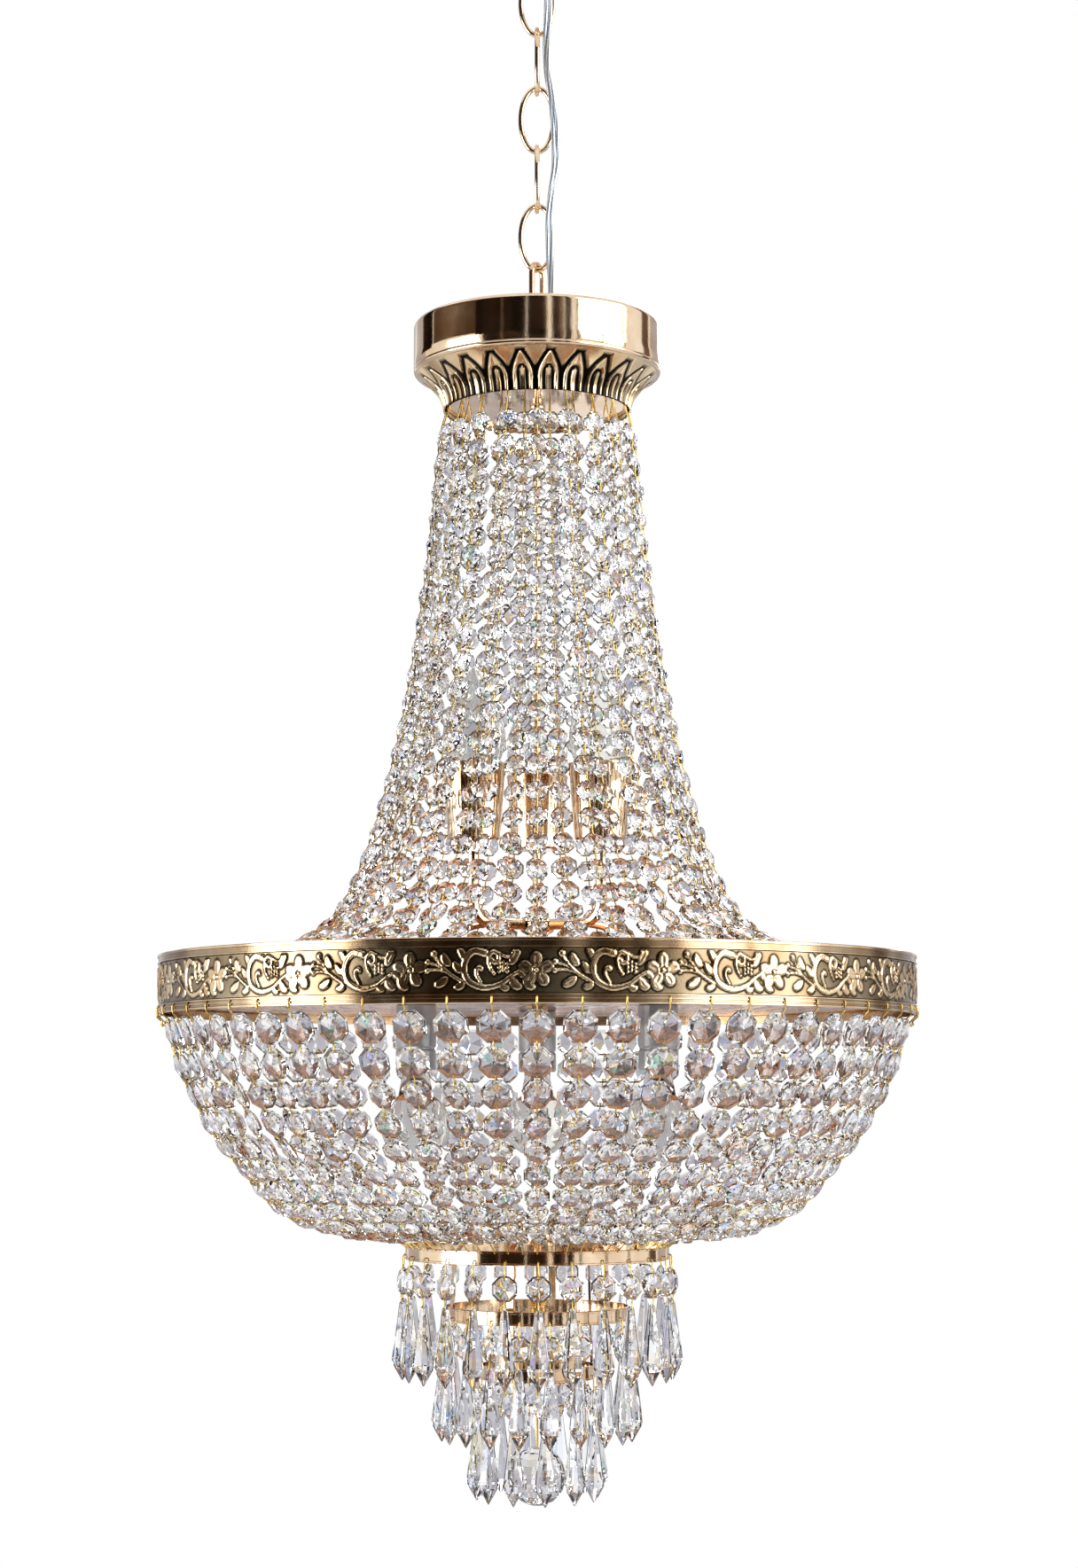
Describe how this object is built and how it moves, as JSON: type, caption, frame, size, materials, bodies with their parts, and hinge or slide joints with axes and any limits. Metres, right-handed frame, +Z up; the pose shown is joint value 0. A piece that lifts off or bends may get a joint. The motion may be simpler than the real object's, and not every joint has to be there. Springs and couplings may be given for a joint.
{
  "type": "crystal chandelier",
  "caption": "Empire style ceiling chandelier: a gold crown on a chain, swags of cut crystal down to a floral ring, a crystal bowl under it and tiers of spear drops below.",
  "frame": {"origin": "middle of the bracket's face against the ceiling, on the chandelier's axis", "axes": "+Z up out of the ceiling face, +X to the right seen from the front, +Y away from the front"},
  "size_m": [0.5, 0.5, 1.0963],
  "materials": {
    "gold": "polished antique gold plate",
    "dark_gold": "antique gold with black patina in the hollows",
    "pin_brass": "bright brass wire",
    "crystal": "clear cut crystal",
    "steel": "zinc plated",
    "clear_flex": "clear flex over tinned wires",
    "terminal_white": "moulded",
    "holder_white": "glazed",
    "bulb": "clear glass bulb"
  },
  "bodies": {
    "ceiling": {"ceiling_bracket": "steel", "bracket_nipple": "steel", "canopy": "gold", "canopy_boss": "gold", "canopy_collar": "gold", "ceiling_terminal": "terminal_white", "cord_1": "clear_flex"},
    "link_1": {"chain_link_1": "gold", "cord_2": "clear_flex"},
    "link_2": {"chain_link_2": "gold", "cord_3": "clear_flex"},
    "link_3": {"chain_link_3": "gold", "cord_4": "clear_flex"},
    "link_4": {"chain_link_4": "gold", "cord_5": "clear_flex"},
    "link_5": {"chain_link_5": "gold", "cord_6": "clear_flex"},
    "upper_bulb_1": {"upper_bulb_1": "bulb"},
    "lower_bulb_1": {"lower_bulb_1": "bulb"},
    "upper_bulb_2": {"upper_bulb_2": "bulb"},
    "lower_bulb_2": {"lower_bulb_2": "bulb"},
    "upper_bulb_3": {"upper_bulb_3": "bulb"},
    "lower_bulb_3": {"lower_bulb_3": "bulb"},
    "ball": {"crystal_ball": "crystal", "ball_wire": "pin_brass"},
    "chandelier": {"crown_loop": "gold", "crown_drum": "gold", "crown_plate": "gold", "stem_tube": "gold", "stem_collar": "gold", "centre_rod": "gold", "lamp_hub": "gold", "lamp_arms": "gold", "upper_lamp_cups": "gold", "main_ring": "gold", "lamp_plate": "gold", "ring_spokes": "gold", "ring_stays": "gold", "plate_nuts": "gold", "tail_hub": "gold", "tier_ring_1": "gold", "tier_ring_2": "gold", "tier_ring_3": "gold", "tier_straps": "gold", "leaf_ring": "dark_gold", "floral_band": "dark_gold", "tier_pins": "pin_brass", "upper_strand_pins": "pin_brass", "bowl_strand_pins": "pin_brass", "ball_eye": "pin_brass", "upper_crystals_outer": "crystal", "upper_crystals_inner": "crystal", "bowl_crystals": "crystal", "tier_1_crystals": "crystal", "tier_2_crystals": "crystal", "tier_3_crystals": "crystal", "lamp_wire": "clear_flex", "crown_terminal": "terminal_white", "cord_grommet": "terminal_white", "lampholders": "holder_white"}
  },
  "joints": [
    {"name": "link_1_swing", "type": "hinge", "parent": "ceiling", "child": "link_1", "pos_m": [0, 0, -0.067], "axis": [0, 1, 0], "range_deg": [-12, 12], "deforming": ["cord_1"]},
    {"name": "link_2_swing", "type": "hinge", "parent": "link_1", "child": "link_2", "pos_m": [0, 0, -0.1084], "axis": [1, 0, 0], "range_deg": [-12, 12], "deforming": ["cord_2"]},
    {"name": "link_3_swing", "type": "hinge", "parent": "link_2", "child": "link_3", "pos_m": [0, 0, -0.1498], "axis": [0, 1, 0], "range_deg": [-12, 12], "deforming": ["cord_3"]},
    {"name": "link_4_swing", "type": "hinge", "parent": "link_3", "child": "link_4", "pos_m": [0, 0, -0.1912], "axis": [1, 0, 0], "range_deg": [-12, 12], "deforming": ["cord_4"]},
    {"name": "link_5_swing", "type": "hinge", "parent": "link_4", "child": "link_5", "pos_m": [0, 0, -0.2326], "axis": [0, 1, 0], "range_deg": [-12, 12], "deforming": ["cord_5"]},
    {"name": "chandelier_swing", "type": "hinge", "parent": "link_5", "child": "chandelier", "pos_m": [0, 0, -0.274], "axis": [1, 0, 0], "range_deg": [-12, 12], "deforming": ["cord_6"]},
    {"name": "upper_bulb_1_turn", "type": "hinge", "parent": "chandelier", "child": "upper_bulb_1", "pos_m": [0, 0.048, -0.62], "axis": [0, 0, 1], "range_deg": [0, 720]},
    {"name": "lower_bulb_1_turn", "type": "hinge", "parent": "chandelier", "child": "lower_bulb_1", "pos_m": [0, 0.09, -0.8], "axis": [0, 0, -1], "range_deg": [0, 720]},
    {"name": "upper_bulb_2_turn", "type": "hinge", "parent": "chandelier", "child": "upper_bulb_2", "pos_m": [-0.04157, -0.024, -0.62], "axis": [0, 0, 1], "range_deg": [0, 720]},
    {"name": "lower_bulb_2_turn", "type": "hinge", "parent": "chandelier", "child": "lower_bulb_2", "pos_m": [-0.07794, -0.045, -0.8], "axis": [0, 0, -1], "range_deg": [0, 720]},
    {"name": "upper_bulb_3_turn", "type": "hinge", "parent": "chandelier", "child": "upper_bulb_3", "pos_m": [0.04157, -0.024, -0.62], "axis": [0, 0, 1], "range_deg": [0, 720]},
    {"name": "lower_bulb_3_turn", "type": "hinge", "parent": "chandelier", "child": "lower_bulb_3", "pos_m": [0.07794, -0.045, -0.8], "axis": [0, 0, -1], "range_deg": [0, 720]},
    {"name": "ball_swing", "type": "hinge", "parent": "chandelier", "child": "ball", "pos_m": [0, 0, -0.9826], "axis": [1, 0, 0], "range_deg": [-7, 7]}
  ]
}
